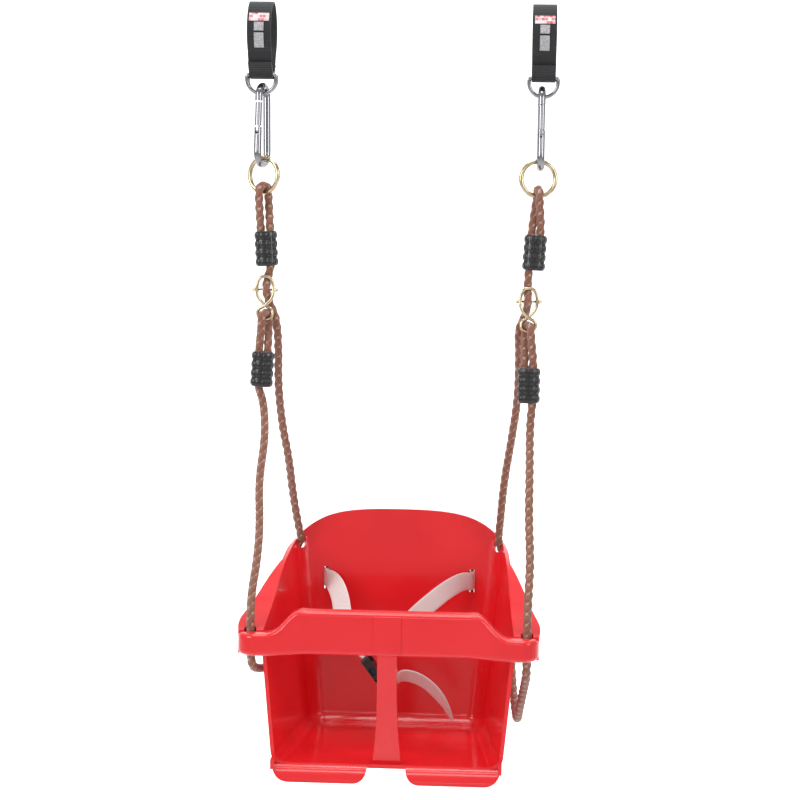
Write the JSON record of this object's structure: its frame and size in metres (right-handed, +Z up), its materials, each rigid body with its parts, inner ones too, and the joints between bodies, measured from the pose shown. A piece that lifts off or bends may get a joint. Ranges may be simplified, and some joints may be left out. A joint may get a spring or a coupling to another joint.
{
  "type": "toddler bucket swing",
  "caption": "Moulded toddler bucket swing seat with a front bar, crotch post and lap harness, hung on adjustable ropes, rings, snap hooks and webbing straps round a beam.",
  "frame": {"origin": "on the axis of the beam, half way between the two straps", "axes": "+X along the beam towards the viewer's right when the seat's front bar is faced, -Y to the seat's front, +Z up"},
  "size_m": [0.3318, 0.2445, 0.8056],
  "materials": {
    "strap_webbing": "woven",
    "patch_weave": "woven",
    "hook_chrome": "polished",
    "pin_steel": "brushed",
    "ring_metal": "polished",
    "bead_plastic": "glossy",
    "ferrule_rubber": "matte",
    "adjuster_metal": "polished",
    "rope_fibre": "laid rope",
    "seat_plastic": "glossy",
    "belt_webbing": "woven",
    "buckle_plastic": "satin"
  },
  "bodies": {
    "straps": {"left_beam_strap": "strap_webbing", "left_strap_patch": "patch_weave", "left_dring_front": "hook_chrome", "left_dring_rear": "hook_chrome", "right_beam_strap": "strap_webbing", "right_strap_patch": "patch_weave", "right_dring_front": "hook_chrome", "right_dring_rear": "hook_chrome"},
    "swing": {"left_upper_bead": "bead_plastic", "left_upper_ferrule": "ferrule_rubber", "left_lower_bead": "bead_plastic", "left_lower_ferrule": "ferrule_rubber", "left_adjuster": "adjuster_metal", "left_rope": "rope_fibre", "left_belt_stop": "buckle_plastic", "right_upper_bead": "bead_plastic", "right_upper_ferrule": "ferrule_rubber", "right_lower_bead": "bead_plastic", "right_lower_ferrule": "ferrule_rubber", "right_adjuster": "adjuster_metal", "right_rope": "rope_fibre", "right_belt_stop": "buckle_plastic", "seat_shell": "seat_plastic", "left_belt": "belt_webbing", "right_belt": "belt_webbing", "buckle_socket": "buckle_plastic"},
    "left_hook": {"left_hook_body": "hook_chrome", "left_gate_pin": "pin_steel", "left_gate_spring": "pin_steel"},
    "left_gate": {"left_gate": "hook_chrome"},
    "left_ring": {"left_ring": "ring_metal"},
    "right_hook": {"right_hook_body": "hook_chrome", "right_gate_pin": "pin_steel", "right_gate_spring": "pin_steel"},
    "right_gate": {"right_gate": "hook_chrome"},
    "right_ring": {"right_ring": "ring_metal"},
    "plug": {"buckle_plug": "buckle_plastic"}
  },
  "joints": [
    {"name": "swing_pitch", "type": "hinge", "parent": "straps", "child": "swing", "pos_m": [0, 0, -0.068], "axis": [1, 0, 0], "range_deg": [-40, 40]},
    {"name": "left_hook_turn", "type": "hinge", "parent": "swing", "child": "left_hook", "pos_m": [-0.1473, 0, -0.068], "axis": [0, 0, 1], "range_deg": [0, 12]},
    {"name": "left_gate_open", "type": "hinge", "parent": "left_hook", "child": "left_gate", "pos_m": [-0.15064, -0.01246, -0.104], "axis": [-0.9659, 0.2588, 0], "range_deg": [0, 20], "stiffness_Nm_per_rad": 0.15, "springref_deg": -14.32},
    {"name": "left_ring_spin", "type": "hinge", "parent": "swing", "child": "left_ring", "pos_m": [-0.1454, 0, -0.15025], "axis": [-0.5, -0.866, 0], "continuous": true},
    {"name": "right_hook_turn", "type": "hinge", "parent": "swing", "child": "right_hook", "pos_m": [0.1473, 0, -0.068], "axis": [0, 0, 1], "range_deg": [-14, 14]},
    {"name": "right_gate_open", "type": "hinge", "parent": "right_hook", "child": "right_gate", "pos_m": [0.1473, -0.0129, -0.104], "axis": [-1, 0, 0], "range_deg": [0, 20], "stiffness_Nm_per_rad": 0.15, "springref_deg": -14.32},
    {"name": "right_ring_spin", "type": "hinge", "parent": "swing", "child": "right_ring", "pos_m": [0.1454, 0, -0.15025], "axis": [0.1736, -0.9848, 0], "continuous": true},
    {"name": "buckle_release", "type": "slide", "parent": "swing", "child": "plug", "axis": [0.6018, -0.1003, -0.7923], "range_m": [0, 0.022], "deforming": ["right_belt"]}
  ]
}
